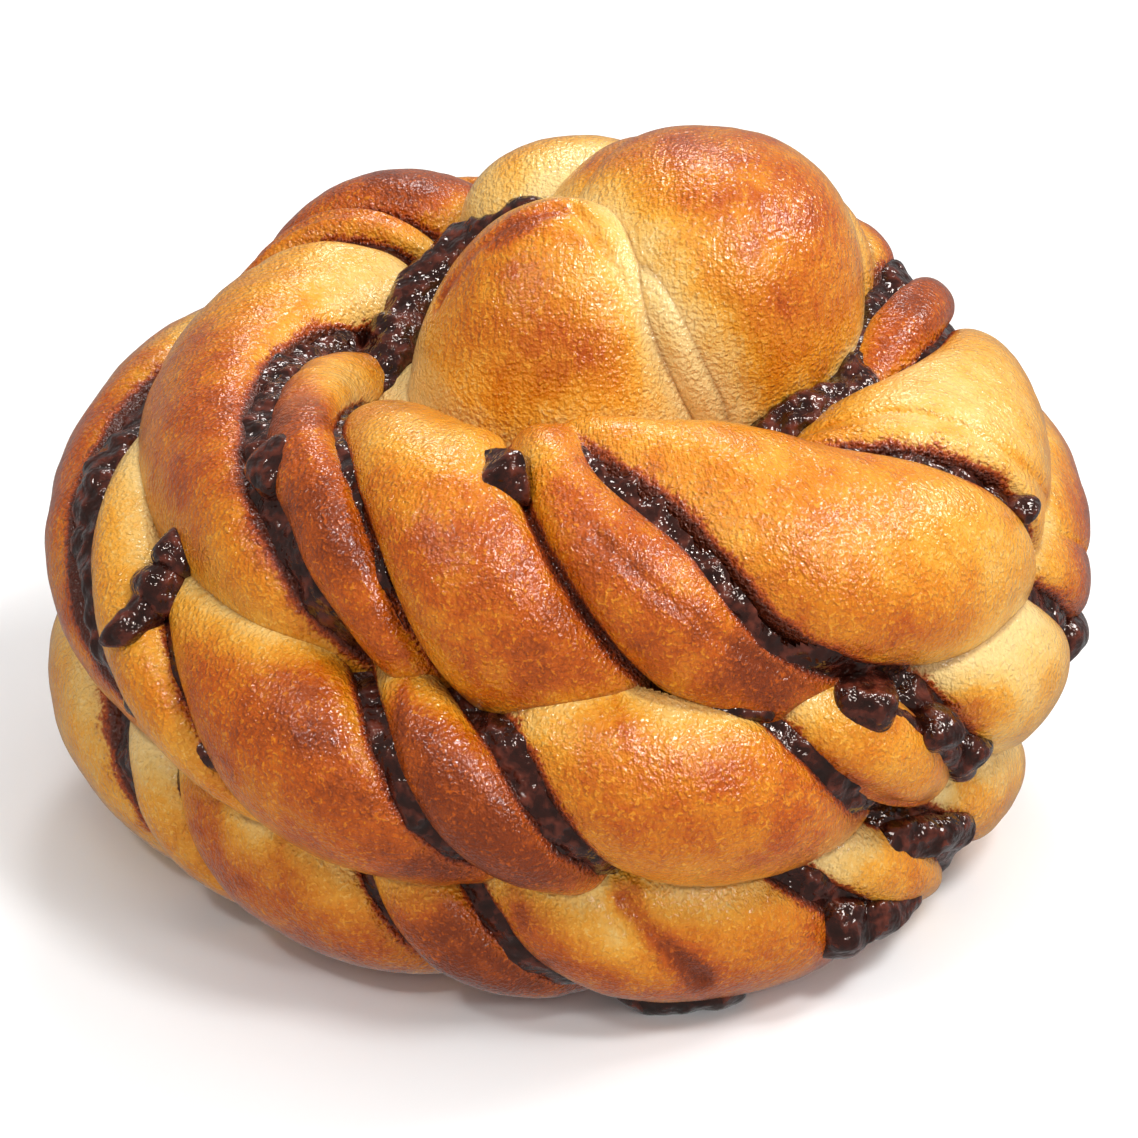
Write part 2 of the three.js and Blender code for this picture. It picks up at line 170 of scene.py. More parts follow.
# How much darker a lobe is than the others, from its browning and for lobe 6 partly painted shade, by
# the number of the groove that it starts at.
LOBE_BAKE_AND_SHADE = {
    # Lobe 6, low on the front, is darker partly from its browning and partly as painted shade, since
    # less light reaches it from above.
    3: -0.06, 4: -0.02, 5: 0.2, 6: 0.42, 7: 0.26,
    15: 0.16, 17: 0.18, 18: 0.36, 19: 0.1, 21: -0.18, 22: 0.2, 23: 0.2,
    27: 0.22, 28: 0.2, 29: 0.04, 30: 0.28, 31: 0.1, 32: 0.14, 33: -0.04, 34: -0.16, 35: -0.18,
    36: 0.32, 37: 0.28,
}

# Shallow lines that run along a lobe, by the number of its first groove: place across the lobe
# from -1 to 1, depth and half width.
LOBE_LINES = {28: (0, 0.8, 1)}

TURN_ANGLES = (360, 720, 1080) # about the middles of the three turns

# Where one visible piece of the strand ends and the next begins, in degrees of the path.
PIECES = {
    "dough_foot": (95, 300),
    "dough_low": (300, 545),
    "dough_middle": (545, 812),
    "dough_upper": (812, 1215),
}

# ---- The crown and the middle --------------------------------------------------------------

# Centre, half axes, turn about Y, how much narrower the top is than the middle, how dark.
CROWN = [
    {"centre": (-0.6, -3, 54), "axes": (15.6, 14, 17.8), "tilt": -3, "taper": 0.24, "bake": 0},
    {"centre": (15, 5, 54.5), "axes": (15.5, 16.5, 20.2), "tilt": -3, "taper": -0.14, "bake": 0.08},
    {"centre": (8, 9.5, 62.4), "axes": (11, 10, 9), "tilt": -15, "taper": 0, "bake": 0.16},
    {"centre": (1.5, 20, 57.5), "axes": (13, 10, 10), "tilt": 0, "taper": 0, "bake": -0.1},
    {"centre": (23.5, 12, 53), "axes": (9, 9, 13.5), "tilt": 0, "taper": 0, "bake": 0.4},
    {"centre": (12.2, -3, 57), "axes": (5, 9.5, 12.5), "tilt": -25, "taper": 0, "bake": -0.05},
]
CORE = {"centre": (1, 0, 26), "axes": (32, 31, 29), "tilt": 0, "taper": 0, "bake": -0.1}
CROWN_SQUARENESS = 2.2 # 2 is an ellipsoid, and more is nearer to a block
JOINED = (CROWN[1], CROWN[2]) # these two run into each other without a crease
JOIN_FILL = 1 # how high the dough stands in the corner where they meet
JOIN_WIDTH = 2.2

# Lines pressed into the dough: depth, half width, how dark, then the points of the line.
SEAMS = [
    (1.6, 0.75, 0, [(0.4, -2, 72), (3, -7, 70.5), (5, -9, 68.5), (7, -11.3, 65.2), (8.8, -12.6, 61.3),
                    (10.4, -13.3, 57)]),
    (1.3, 0.7, 0.2, [(-0.9, -2.4, 72.1), (-4.9, -3.6, 70.5), (-7.9, -4.3, 68.3), (-10.8, -4.4, 65),
                     (-12.9, -4.8, 61.8)]),
    (0.9, 0.6, 0.16, [(-0.1, -3.2, 72.1), (-3.9, -5, 70.5), (-7, -5.8, 68.3), (-10, -6.4, 65)]),
    (0.5, 0.6, 0, [(15.3, -10.5, 65.3), (16.6, -11.7, 60.3), (17.7, -11.3, 53.8)]),
    (0.35, 0.5, 0, [(18, -10, 63), (18.4, -11.6, 58.5), (18.5, -11.2, 53.7)]),
    (0.35, 0.5, 0, [(21, -8.6, 62), (19.8, -10.6, 58), (18.9, -11, 53.7)]),
    (0.7, 0.7, 0.1, [(-1.8, -32.1, 57), (3, -39.9, 54.9), (8.7, -43.3, 50.8), (14.4, -44.4, 46.5),
                     (20.3, -42.8, 41.5)]),
    (1.1, 0.9, 0.3, [(21.4, -43.7, 34.1), (25.4, -43.2, 31), (29.5, -41.9, 27.6), (34.5, -36.3, 21.2)]),
    (0.7, 0.7, 0.35, [(5.3, -48.1, 19.2), (7.6, -49.1, 16.3), (10.2, -49.3, 13.3), (13.3, -48, 9)]),
    (0.4, 0.7, 0, [(3.2, -48.5, 19.2), (5.7, -49.4, 15.9), (8.4, -49.5, 12.2)]),
]

SEAM_SHADE_WIDTH = 2.2 # width of the browned line, as a share of the pressed one's

# Places baked darker or paler than the rest of their lobe, some of them partly painted shade as marked:
# centre, radius, change.
TINTS = [
    ((-20, 28, 59), 12, 0.02),
    ((-38.5, -16, 51), 11, 0.16),
    ((-19, 14, 56.5), 12, -0.55),
    ((-21.5, -7, 54.8), 7, -0.6),
    ((-17, 25, 57), 7, 0.3),
    # Painted shade: the lower left of the front crown lobe, darker as it lies in shadow.
    ((-10, -12, 50), 7, 0.4),
    ((-2, -17, 59), 8, 0.12),
    ((-15, -26, 60), 8, -0.32),
    ((-4, -30, 58), 5, -0.25),
    ((-2, -44, 50), 10, 0.12),
    ((21, -41, 42), 9, 0.22),
    ((4, -22, 55), 7, -0.12),
    ((37, -12, 55), 9, -0.15),
    ((34, -38, 42), 8, 0.14),
    ((40, -33, 30.5), 4, 0.45),
    ((20, -46.5, 26), 9, 0.18),
    ((5.5, -49.2, 15.7), 4, -0.4),
    ((-23, -36, 20), 14, 0.12),
    # Partly painted shade: the low front lobe is darkened for its own browning and for the shade low on
    # the bun.
    ((-12.5, -49.5, 22), 7, 0.3),
    ((52, -3, 37), 9, 0.22),
    ((-22, -14, 57), 5, -0.2),
    ((-22, -32, 55), 6, 0.15),
    ((-27, -42, 36), 9, 0.08),
]

# ---- The crust's relief and browning -------------------------------------------------------

# Bumps of the dough in millimetres: height and width.
SWELLS = [(0.3, 11), (0.16, 4.5)]
# Wrinkles: height, and widths along the three directions of the grain.
WRINKLES = [(0.05, (1.5, 5, 5)), (0.03, (1, 1.8, 1.8))]
LEAST_RELIEF = 0.3 # share of the relief that is left down in a groove
CROWN_RELIEF = 0.8 # share of the relief on the crown
# The grain is longest round the strand, and up the crown's lobes.
STRAND_GRAIN = (0.75, 0.235) # units a degree of the path, and a degree round the strand
CROWN_GRAIN = (1, 0.5, 0.5) # units a millimetre

# The browning goes from 0, pale dough, to 1, dark crust.
MEAN_BAKE = 0.6
TOP_BAKE = 0.06 # how much more the upward sides brown
UNEVEN_BAKE = [(0.1, 13), (0.07, 5)] # amount, and width in millimetres
COVERED_PALER = 0.5 # under the turn above, where the heat comes late
COVERED_WIDTH = 4.2
COVERED_FADE = 1.5
CROWN_COVER = (2, 1.5) # the crown covers less: its distance counts this much more, and this further
TOUCHED_PALER = 0.15 # right beside other dough
TOUCHED_WIDTH = 1.5
FULL_BAKE_RISE = 0.7 # how far up a lobe its own browning is complete

# ---- Chocolate in the grooves and pressed out of the folds ---------------------------------

LEAST_LEVEL = 0.5 # grooves with less chocolate than this show none
WET_LEVEL = 1.6 # from this level on, the chocolate soaks fully into the crust beside it
STAIN_WIDTH = (0.36, 0.7) # of a dry groove, and how much more of a wet one
RIBBON_REACH = 75 # degrees of the path that a groove's chocolate runs to each side
RIBBON_MARGIN = 2.2 # how far it goes on under the dough beside the gape
RIBBON_CROWN = 0.15 # share of the level by which its edges are lower than its middle
RIBBON_LUMPS = (0.4, 0.3) # height of its lumps, and how much more for each millimetre of level
END_MARGIN = 4 # degrees at each end of the strand that show no chocolate
FARTHEST_OFF = 170 # degrees from the outer side, just short of the strand's inner side
# Lumps of the filling: share of the height, and width in millimetres.
LUMPS = [(0.75, 3.1), (0.42, 1.5), (0.1, 0.8)]

# Rolls of chocolate: each point of the curve with the radius there.
SMEARS = [
    [(-21, -2, 45, 3), (-18.8, 4, 49.2, 3.6), (-16.8, 10, 51.8, 3.6), (-13.6, 14.6, 54.6, 3.6),
     (-9.2, 16, 58, 3.2), (-5.2, 14.8, 61.6, 2.6), (-2.4, 12.8, 64.4, 1.4)],
    [(17, -11.5, 47.6, 3), (22, -9.7, 48.6, 4.9), (26.5, -6.7, 49.4, 4.9), (28.8, -1.5, 51.6, 3.6),
     (31, 4, 53.6, 2.4), (31.8, 9, 54.2, 1.8)],
    [(-43.3, 3, 42, 3), (-45, -2, 40.5, 4.2), (-46.6, -6.5, 38.8, 4.4), (-47.8, -11.5, 35.8, 3.2)],
    [(18, -39.4, 3.2, 2.6), (13, -41, 3, 2.4), (8, -41.6, 2.8, 2), (4.5, -41.2, 2.8, 0.9)],
    [(-38, -20.5, 42.4, 2), (-40.6, -23.8, 39.8, 2.2), (-42.2, -26, 38, 2.2), (-44, -27.4, 37.3, 1.8),
     (-45.8, -27.8, 36.4, 1), (-46.8, -27.6, 35.7, 0.3)],
    [(26, -38.5, 37, 1.4), (31.5, -38.3, 33.2, 1.5), (36.5, -35.2, 28.4, 1.6), (40.2, -28.6, 21.5, 2)],
    [(25, -38, 13, 2), (26.6, -38.5, 9.5, 3.5), (28, -38, 5.5, 3.2)],
    [(25, -38, 9, 3), (30.5, -35.5, 8.5, 2.8), (35.5, -31.5, 8.5, 2)],
    [(30, -35, 16.5, 2.2), (36, -31, 14.8, 2.4), (41, -26, 13, 1.8)],
    [(-40, -33.5, 28.2, 1), (-36.6, -35.4, 28, 1.6), (-33, -38, 27.6, 1)],
    [(12, -44.3, 38.8, 0.6), (16, -43.8, 38, 0.9), (20, -43, 37, 0.7)],
]

# Chips: centre, radius, flattening, squareness (2 is a ball, more a block, less a pointed lump).
CHUNKS = [
    ((-38.8, -22.4, 43), 2.7, 0.9, 3),
    ((-40.6, -24.4, 40), 2.8, 1, 3),
    ((-27.9, -24.2, 53.2), 3.2, 1, 3.6),
    ((-6.2, -31.8, 57), 3.9, 1, 1.15),
    ((28.4, -38.8, 36.2), 3.5, 0.75, 3.6),
    ((35.8, -35.8, 30.8), 2.8, 0.8, 3),
    ((39.4, -30.6, 25), 2.7, 0.9, 3),
    ((50.4, -8.4, 24.8), 3.6, 0.9, 3),
    ((-47.2, -2.6, 40), 3, 1, 2.6),
    ((-48.4, -10.4, 36.4), 2.8, 1, 2.6),
    ((45.2, -19.2, 46.4), 2, 0.7, 2.8),
]

LUMPINESS = 0.3 # height of the lumps on a roll, as a share of its radius
CHUNK_LUMPINESS = 0.11
FIRST_LUMP_SEED = 11
FIRST_CHUNK_SEED = 100
# The place of a groove across the strand is found step by step, a little short of a full step.
SOLVER_STEPS = 14
SOLVER_CARE = 0.9

# ---- Fineness ------------------------------------------------------------------------------

STEP = 0.37 # between two points of the strand
CROWN_STEP = 0.42
CHOCOLATE_STEP = 0.36
BURIED = 1.2 # faces deeper than this in another part of the bun are left out
STRAND_GIRTH = 84 # about the length round the strand's section
PATH_RADIUS = 50 # about the radius of the turns' outer side
RIBBON_RADIUS = 45 # and of the grooves'
ROLL_GIRTH = 6.3 # length round a roll, for each millimetre of its radius
FAR = 99 # stands for no dough near

# ---- Camera --------------------------------------------------------------------------------

CAMERA_ELEVATION = 31
CAMERA_DISTANCE = 480
CAMERA_TARGET = (0, 0, 27.7)
FRAME_WIDTH = 120.6 # width of the view at the target
SENSOR_WIDTH = 36

# ---- Light ---------------------------------------------------------------------------------

WORLD_STRENGTH = 0.28
LAMP_TARGET = (0, 0, 0.03) # in metres
# Name, place and size in metres, power in watts, and whether the bun mirrors it. The large ones
# aren't mirrored, so they light it softly without a sheen, and the small ones make the glints.
LAMPS = [
    ("key", (0.24, -0.2, 0.58), 0.12, 1.7, True),
    ("fill", (-0.15, -0.6, 0.4), 0.5, 0.8, False),
    ("top", (0, 0.2, 1.6), 1.4, 9, False),
    ("glint_right", (0.5, 0.16, 0.5), 0.17, 2, True),
    ("glint_front", (0.38, -0.42, 0.42), 0.13, 0.9, True),
    ("glint_left", (-0.26, -0.24, 0.5), 0.06, 0.6, True),
    ("glint_back", (0, 0.48, 0.52), 0.15, 1.1, True),
]


# ---- Curves --------------------------------------------------------------------------------

def cubic(knots, values, tangents, x):
    """Cubic pieces through the knots, with the given slopes."""
    i = np.clip(np.searchsorted(knots, x, side="right") - 1, 0, len(knots) - 2)
    h = knots[i + 1] - knots[i]
    t = np.clip((x - knots[i]) / h, 0, 1)
    return (
        (2 * t**3 - 3 * t**2 + 1) * values[i]
        + (t**3 - 2 * t**2 + t) * h * tangents[i]
        + (3 * t**2 - 2 * t**3) * values[i + 1]
        + (t**3 - t**2) * h * tangents[i + 1]
    )


def smooth_at(rows, column, x):
    """Smooth curve through a column of a table, with averaged slopes."""
    knots, values = rows[:, 0], rows[:, column]
    width = np.diff(knots)
    slope = np.diff(values) / width
    middle = (slope[:-1] * width[1:] + slope[1:] * width[:-1]) / (width[:-1] + width[1:])
    return cubic(knots, values, np.concatenate([slope[:1], middle, slope[-1:]]), x)


def groove_phases():
    """Phase of the twist at which each groove lies."""
    i = np.arange(len(GROOVES))
    return FIRST_PHASE + (i // 2) * PAIR_WIDTH + (i % 2) * EDGE_WIDTH


def twist_at(angle):
    """Twist of the strand at an angle: a rising curve through the grooves' own phases."""
    knots, values = GROOVES[:, 0], groove_phases()
    width = np.diff(knots)
    slope = np.diff(values) / width
    before = 2 * width[1:] + width[:-1]
    after = width[1:] + 2 * width[:-1]
    middle = (before + after) / (before / slope[:-1] + after / slope[1:])
    return cubic(knots, values, np.concatenate([slope[:1], middle, slope[-1:]]), angle)


def smooth_step(low, high, x):
    """From 0 below the low bound to 1 above the high one."""
    t = np.clip((x - low) / (high - low), 0, 1)
    return t * t * (3 - 2 * t)


def lattice_noise(points, seed):
    """Smooth noise from -1 to 1 over points of shape (..., 3), about one bump a unit."""
    cell = np.floor(points).astype(np.int64)
    t = points - cell
    t = t * t * (3 - 2 * t)
    total = np.zeros(points.shape[:-1])
    for corner in itertools.product((0, 1), repeat=3):
        c = cell + np.array(corner)
        mixed = (c[..., 0] * 73856093) ^ (c[..., 1] * 19349663) ^ (c[..., 2] * 83492791) ^ (seed * 7919)
        mixed = ((mixed ^ (mixed >> 13)) * 1274126177) & 0xFFFFFFFF
        value = ((mixed ^ (mixed >> 16)) & 0xFFFF) / 32767.5 - 1
        weight = np.prod(np.where(corner, t, 1 - t), axis=-1)
        total += weight * value
    return total


# ---- The strand's surface ------------------------------------------------------------------

def section_at(angle):
    """Everything about the strand's section at angles of the path."""
    names = ("shift", "radius", "height", "half_width", "half_height")
    section = {name: smooth_at(PATH, column + 1, angle) for column, name in enumerate(names)}
    from_end = np.clip(np.minimum(angle - PATH[0, 0], PATH[-1, 0] - angle) / END_TAPER, 0, 1)
    section.update(
        angle=angle,
        outer=np.interp(angle, OUTER_SIDE[:, 0], OUTER_SIDE[:, 1]),
        lean=np.interp(angle, GROOVES[:, 0], GROOVES[:, 1]),
        twist=twist_at(angle),
        twist_rate=twist_at(angle + 0.5) - twist_at(angle - 0.5),
        taper=np.sqrt(1 - (1 - from_end) ** 2),
    )
    return section


def groove_shown(off):
    """How far a groove is open, from 0 to 1, at degrees from the outer side."""
    return 1 - smooth_step(*CLOSED_ABOVE, off) - smooth_step(*CLOSED_BELOW, -off)


def shoulder_at(section, side, off):
    """How open the shoulder leaves a groove, from 0 to 1, and how far the dough swells there."""
    near = np.exp(-(((section["angle"] - SHOULDER["angle"]) / SHOULDER["angle_width"]) ** 4))
    around = (side - SHOULDER["side"]) / SHOULDER["side_width"]
    swell = SHOULDER["height"] * near * np.exp(-(around**2))
    return 1 - near * smooth_step(*SHOULDER_GROOVES, off), swell


def lobe_at(section, side):
    """Reach of the dough at a side angle of the section, and where on which lobe that is."""
    off = (side - section["outer"] + 180) % 360 - 180
    bend = section["lean"] * np.cos(off * DEG)
    phase = section["twist"] + off + section["lean"] * np.sin(off * DEG) / DEG
    pair, rest = np.divmod(phase - FIRST_PHASE, PAIR_WIDTH)
    face = rest >= EDGE_WIDTH
    lobe = np.clip(2 * pair + face, 0, len(GROOVES) - 2).astype(int)

    across = np.cos(side * DEG) / section["half_width"]
    up = np.sin(side * DEG) / section["half_height"]
    oval = 1 / np.hypot(across, up)
    from_axis = section["radius"] + oval * np.cos(side * DEG)
    slope = oval * section["twist_rate"] / ((1 + bend) * from_axis)
    scale = oval * DEG / (1 + bend) / np.hypot(1, slope)
    left = np.where(face, rest - EDGE_WIDTH, rest) * scale
    right = np.where(face, PAIR_WIDTH - rest, EDGE_WIDTH - rest) * scale

    open_share, swell = shoulder_at(section, side, off)
    shown = groove_shown(off) * open_share
    wave = np.sin(section["angle"] / RAGGED_ALONG)
    ragged = 1 + RAGGED_SHARE * wave * np.sin(off / RAGGED_ROUND + section["angle"] / RAGGED_DRIFT)
    gape_left = GROOVES[lobe, 3] * shown * ragged
    gape_right = GROOVES[lobe + 1, 3] * shown * ragged
    half = np.maximum((left + right - gape_left - gape_right) / 2, LEAST_LOBE)
    x = np.clip((left - gape_left) / half - 1, -1, 1)
    power = np.where(face, FACE_ROUNDNESS, EDGE_ROUNDNESS)
    rise = np.sqrt(1 - np.abs(x) ** power)
    share = smooth_step(-1, 1, x)
    depth = GROOVES[lobe, 2] * (1 - share) + GROOVES[lobe + 1, 2] * share
    size = np.where(face, 1, 1 - (1 - EDGE_LOBE_SIZE) * rise)
    reach = oval * size + swell - depth * open_share * (1 - rise)
    for number, (place, line_depth, width) in LOBE_LINES.items():
        distance = (x - place) * half
        reach = reach - np.where(lobe == number, line_depth * np.exp(-((distance / width) ** 2)), 0)

    near_left = left < right
    level = GROOVES[np.where(near_left, lobe, lobe + 1), 4] * shown
    drowned = half * (1 - (1 - np.clip(level / depth, 0, 1) ** 2) ** (1 / power))
    edge = np.where(near_left, left - gape_left, right - gape_right) - drowned
    above = depth * rise - level
    dry = np.hypot(np.maximum(edge, 0), np.maximum(above, 0))
    return {"reach": reach * section["taper"], "lobe": lobe, "rise": rise, "dry": dry, "level": level}


def point_at(section, side, reach):
    """Place in millimetres of a point of the section."""
    out = section["radius"] + reach * np.cos(side * DEG)
    angle = section["angle"] * DEG
    return np.stack([
        section["shift"] + out * np.cos(angle),
        out * np.sin(angle),
        section["height"] + reach * np.sin(side * DEG),
    ], axis=-1)


def strand_gap(points, turn_angle):
    """Distance from points to the turn of the strand at about the given angles."""
    azimuth = np.arctan2(points[..., 1], points[..., 0]) / DEG
    angle = turn_angle + (azimuth - turn_angle + 180) % 360 - 180
    there = (angle > PATH[0, 0]) & (angle < PATH[-1, 0])
    section = section_at(np.clip(angle, PATH[0, 0] + 1, PATH[-1, 0] - 1))
    out = np.hypot(points[..., 0] - section["shift"], points[..., 1]) - section["radius"]
    up = points[..., 2] - section["height"]
    side = np.arctan2(up, out) / DEG
    return np.where(there, np.hypot(out, up) - lobe_at(section, side)["reach"], FAR)


def ball_gap(points, ball):
    """Distance from points to a crown lobe or the core."""
    tilt = ball["tilt"] * DEG
    x, y, z = np.moveaxis(points - np.array(ball["centre"]), -1, 0)
    x, z = x * np.cos(tilt) - z * np.sin(tilt), x * np.sin(tilt) + z * np.cos(tilt)
    top = z / ball["axes"][2]
    narrow = np.maximum(1 - ball["taper"] * top, 0.2)
    ring = np.hypot(x / (ball["axes"][0] * narrow), y / (ball["axes"][1] * narrow))
    form = (ring**CROWN_SQUARENESS + np.abs(top) ** CROWN_SQUARENESS) ** (1 / CROWN_SQUARENESS)
    return np.sqrt(x * x + y * y + z * z) * (1 - 1 / np.maximum(form, 1e-3))


def line_distance(points, line):
    """Distance from points to the nearest place of a line with corners."""
    nearest = np.full(points.shape[:-1], float(FAR))
    for start, end in zip(np.array(line[:-1]), np.array(line[1:])):
        along = end - start
        t = np.clip((points - start) @ along / (along @ along), 0, 1)
        nearest = np.minimum(nearest, np.linalg.norm(points - start - t[..., None] * along, axis=-1))
    return nearest


def seams_at(points):
    """How deep the pressed lines go at points, and how dark they are."""
    depth = np.zeros(points.shape[:-1])
    dark = np.zeros(points.shape[:-1])
    for line_depth, width, change, line in SEAMS:
        distance = line_distance(points, line)
        depth = np.maximum(depth, line_depth * np.exp(-((distance / width) ** 2)))
        dark += change * np.exp(-((distance / width / SEAM_SHADE_WIDTH) ** 2))
    return depth, dark


def crust_relief(points, grain):
    """Uneven swelling, wrinkles and pressed lines of the dough, in millimetres."""
    relief = 0
    for seed, (height, width) in enumerate(SWELLS, 1):
        relief = relief + height * lattice_noise(points / width, seed)
    for seed, (height, widths) in enumerate(WRINKLES, 1 + len(SWELLS)):
        relief = relief + height * lattice_noise(grain / np.array(widths), seed)
    return relief - seams_at(points)[0]


def normals_of(points):
    """Directions square to a grid of points."""
    along = np.gradient(points, axis=0)
    around = np.gradient(points, axis=1)
    normal = np.cross(along, around)
    return normal / (np.linalg.norm(normal, axis=-1, keepdims=True) + 1e-9)


# ---- Meshes --------------------------------------------------------------------------------

def grid_faces(rows, columns, closed):
    """Four-sided faces of a grid, and of its seam where it closes."""
    index = np.arange(rows * columns).reshape(rows, columns)
    if closed:
        index = np.concatenate([index, index[:, :1]], axis=1)
    corners = (index[:-1, :-1], index[1:, :-1], index[1:, 1:], index[:-1, 1:])
    return np.stack([c.ravel() for c in corners], axis=-1)


def patch(points, values, hidden=None, closed=True):
    """Part of a mesh: a grid of points with values of their own, without its hidden faces."""
    rows, columns = points.shape[:2]
    faces = grid_faces(rows, columns, closed)
    if hidden is not None:
        faces = faces[~hidden.ravel()[faces].all(axis=1)]
    used = np.unique(faces)
    place = np.full(rows * columns, -1)
    place[used] = np.arange(len(used))
    flat = {name: v.reshape(rows * columns, -1)[used] for name, v in values.items()}
    return {"points": points.reshape(-1, 3)[used], "faces": place[faces], "values": flat}


def mesh_piece(name, patches, material, node):
    """One object from patches, in metres in the frame of the solids."""
    starts = np.cumsum([0] + [len(p["points"]) for p in patches])
    points = np.concatenate([p["points"] for p in patches]) + np.array(OFFSET)
    points[:, 2] = np.maximum(points[:, 2], 0)
    faces = np.concatenate([p["faces"] + start for p, start in zip(patches, starts)])
    mesh = bpy.data.meshes.new(name)
    mesh.vertices.add(len(points))
    mesh.vertices.foreach_set("co", (points * MM).ravel())
    mesh.loops.add(faces.size)
    mesh.loops.foreach_set("vertex_index", faces.ravel())
    mesh.polygons.add(len(faces))
    mesh.polygons.foreach_set("loop_start", np.arange(0, faces.size, 4))
    mesh.update(calc_edges=True)
    mesh.validate()
    for value in patches[0]["values"]:
        data = np.concatenate([p["values"][value] for p in patches])
        kind, field = ("FLOAT_VECTOR", "vector") if data.shape[1] == 3 else ("FLOAT", "value")
        mesh.attributes.new(value, kind, "POINT").data.foreach_set(field, data.ravel())
    mesh.shade_smooth()
    mesh.materials.append(material)
    piece = bpy.data.objects.new(name, mesh)
    bpy.context.collection.objects.link(piece)
    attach(piece, "root")
    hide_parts(node)


def bake_of(points, upward, offset, crease_above, crease):
    """How far the crust has browned, with a few spots of painted shade, 0 is pale dough and 1 is dark.
    """
    first_seed = 1 + len(SWELLS) + len(WRINKLES)
    uneven = sum(
        amount * lattice_noise(points / width, seed)
        for seed, (amount, width) in enumerate(UNEVEN_BAKE, first_seed)
    )
    covered = COVERED_PALER * np.exp(-((np.maximum(crease_above, 0) / COVERED_WIDTH) ** COVERED_FADE))
    touched = TOUCHED_PALER * np.exp(-np.maximum(crease, 0) / TOUCHED_WIDTH)
    tint = sum(
        change * np.exp(-(((points - np.array(centre)) ** 2).sum(axis=-1) / radius**2))
        for centre, radius, change in TINTS
    )
    own = MEAN_BAKE + offset + tint + TOP_BAKE * upward + uneven
    return own - covered - touched + seams_at(points)[1]


def strand_patch(start, end):
    """Dough of the strand between two angles of the path."""
    angle = np.arange(start, end + 1e-6, STEP / PATH_RADIUS / DEG)[:, None]
    angle = np.append(angle, [[end]], axis=0)
    section = section_at(angle)
    around = np.linspace(-180, 180, int(STRAND_GIRTH / STEP), endpoint=False)
    side = section["outer"] + around[None, :]
    lobe = lobe_at(section, side)
    plain = point_at(section, side, lobe["reach"])
    grain = np.stack([angle * STRAND_GRAIN[0] + 0 * side, side * STRAND_GRAIN[1], 0 * side], axis=-1)
    shown = LEAST_RELIEF + (1 - LEAST_RELIEF) * lobe["rise"]
    relief = crust_relief(plain, grain) * shown * section["taper"]
    points = point_at(section, side, lobe["reach"] + relief)

    above = strand_gap(points, angle + 360)
    below = strand_gap(points, angle - 360)
    crown = np.min([ball_gap(points, ball) for ball in CROWN], axis=0)
    crease_above = np.minimum(above, CROWN_COVER[0] * crown + CROWN_COVER[1])
    crease = np.minimum(np.minimum(np.minimum(above, crown), below), ball_gap(points, CORE))

    offset = np.zeros(lobe["lobe"].shape)
    for number, change in LOBE_BAKE_AND_SHADE.items():
        offset = offset + change * (lobe["lobe"] == number)
    offset = offset * smooth_step(0, FULL_BAKE_RISE, lobe["rise"])
    wet = np.clip(lobe["level"] / WET_LEVEL, 0, 1)
    values = {
        "bake": bake_of(points, normals_of(points)[..., 2], offset, crease_above, crease),
        "stain": wet * np.exp(-lobe["dry"] / (STAIN_WIDTH[0] + STAIN_WIDTH[1] * wet)),
        "crease": crease,
        "grain": grain,
    }
    return patch(points, values, hidden=crease < -BURIED)


def squarer(v):
    """Sine or cosine of an ellipsoid made into that of the crown's squarer balls."""
    return np.sign(v) * np.abs(v) ** (2 / CROWN_SQUARENESS)


def ball_patch(ball, others):
    """Dough of one ball of the crown, or of the core."""
    rows = int(np.pi * ball["axes"][2] / CROWN_STEP)
    columns = int(2 * np.pi * ball["axes"][0] / CROWN_STEP)
    latitude = np.linspace(90, -90, rows)[:, None] * DEG
    longitude = np.linspace(0, 360, columns, endpoint=False)[None, :] * DEG
    top = squarer(np.sin(latitude)) * np.ones_like(longitude)
    wide = squarer(np.cos(latitude)) * (1 - ball["taper"] * top)
    local = np.stack([
        wide * np.cos(longitude) * ball["axes"][0],
        wide * np.sin(longitude) * ball["axes"][1],
        top * ball["axes"][2],
    ], axis=-1)
    tilt = ball["tilt"] * DEG
    x, z = local[..., 0].copy(), local[..., 2].copy()
    local[..., 0] = x * np.cos(tilt) + z * np.sin(tilt)
    local[..., 2] = z * np.cos(tilt) - x * np.sin(tilt)
    outward = local / (np.linalg.norm(local, axis=-1, keepdims=True) + 1e-9)
    plain = local + np.array(ball["centre"])
    grain = plain * CROWN_GRAIN
    height = CROWN_RELIEF * crust_relief(plain, grain)
    joined = [other for other in JOINED if ball in JOINED and other is not ball]
    for other in joined:
        height = height + JOIN_FILL * np.exp(-((ball_gap(plain, other) / JOIN_WIDTH) ** 2))
    points = plain + outward * height[..., None]

    turns = [strand_gap(points, angle) for angle in TURN_ANGLES]
    near = np.min(turns + [ball_gap(points, b) for b in others if b not in joined], axis=0)
    buried = np.min([near] + [ball_gap(points, b) for b in joined], axis=0)
    values = {
        "bake": bake_of(points, outward[..., 2], ball["bake"], near, near),
        "stain": np.zeros(near.shape),
        "crease": near,
        "grain": grain,
    }
    return patch(points, values, hidden=buried < -BURIED)


def lumps_of(points, height):
    """Lumps of the filling."""
    lumps = sum(
        share * lattice_noise(points / width, seed)
        for seed, (share, width) in enumerate(LUMPS, FIRST_LUMP_SEED)
    )
    return height * lumps


